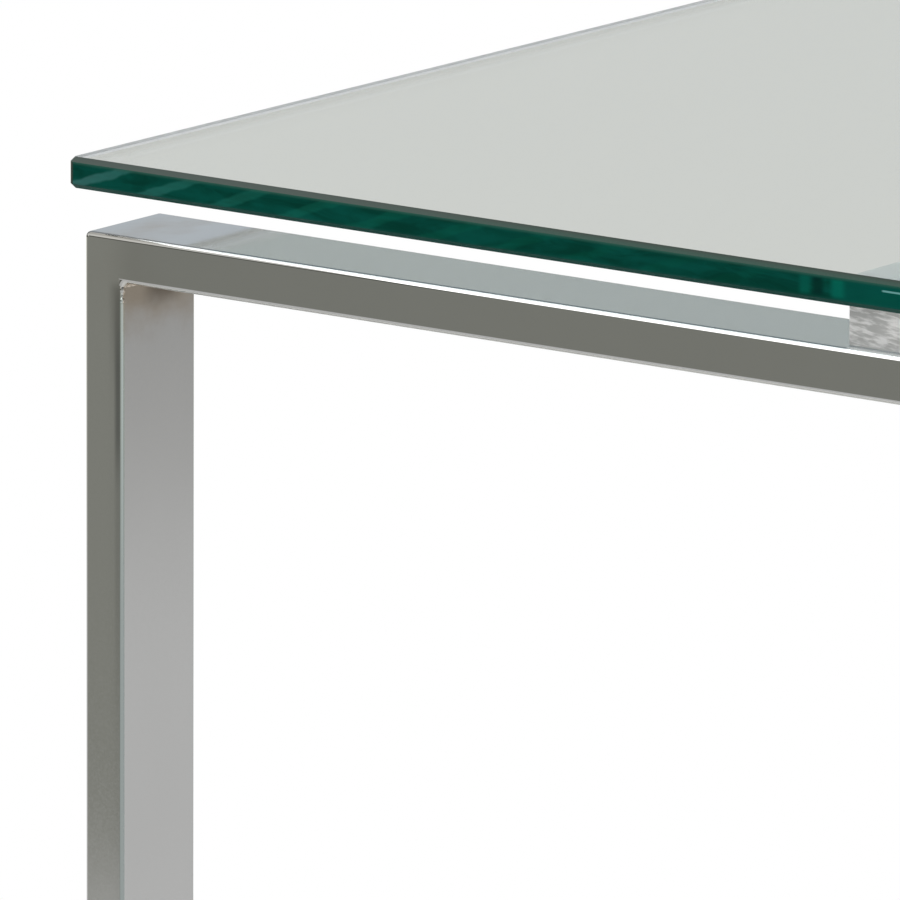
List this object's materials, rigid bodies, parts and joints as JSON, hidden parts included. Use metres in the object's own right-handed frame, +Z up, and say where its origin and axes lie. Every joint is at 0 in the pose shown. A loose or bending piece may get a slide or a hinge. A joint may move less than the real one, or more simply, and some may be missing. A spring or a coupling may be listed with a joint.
{
  "type": "console table",
  "caption": "Narrow console table: clear glass top on small clear blocks over two closed hoops of flat chromed rectangular tube joined by crossbars.",
  "frame": {"origin": "on the floor below the middle of the glass top", "axes": "+X along the table's long direction, +Y from the front hoop to the rear hoop, +Z up"},
  "size_m": [1.1, 0.4, 0.75],
  "materials": {
    "glass": "clear float glass, green in depth, polished edge",
    "acrylic": "clear cast acrylic with finely sawn sides",
    "pad": "clear soft adhesive pad",
    "chrome": "bright chrome plate on steel tube",
    "weld": "weld bead plated over with chrome, uneven",
    "spigot": "machined steel bar",
    "screw": "zinc-plated steel",
    "plastic": "black moulded plastic"
  },
  "bodies": {
    "root": {"glass_top": "glass", "front_left_leg": "chrome", "front_right_leg": "chrome", "front_top_rail": "chrome", "front_bottom_rail": "chrome", "front_weld_beads": "weld", "rear_left_leg": "chrome", "rear_right_leg": "chrome", "rear_top_rail": "chrome", "rear_bottom_rail": "chrome", "rear_weld_beads": "weld", "top_left_crossbar": "chrome", "top_left_front_spigot": "spigot", "top_left_rear_spigot": "spigot", "top_right_crossbar": "chrome", "top_right_front_spigot": "spigot", "top_right_rear_spigot": "spigot", "bottom_left_crossbar": "chrome", "bottom_left_front_spigot": "spigot", "bottom_left_rear_spigot": "spigot", "bottom_right_crossbar": "chrome", "bottom_right_front_spigot": "spigot", "bottom_right_rear_spigot": "spigot", "crossbar_screws": "screw", "front_left_block": "acrylic", "front_left_pad": "pad", "front_right_block": "acrylic", "front_right_pad": "pad", "rear_left_block": "acrylic", "rear_left_pad": "pad", "rear_right_block": "acrylic", "rear_right_pad": "pad", "block_screws": "screw", "rail_hole_plugs": "plastic", "front_left_glide": "plastic", "front_right_glide": "plastic", "rear_left_glide": "plastic", "rear_right_glide": "plastic"}
  },
  "joints": []
}
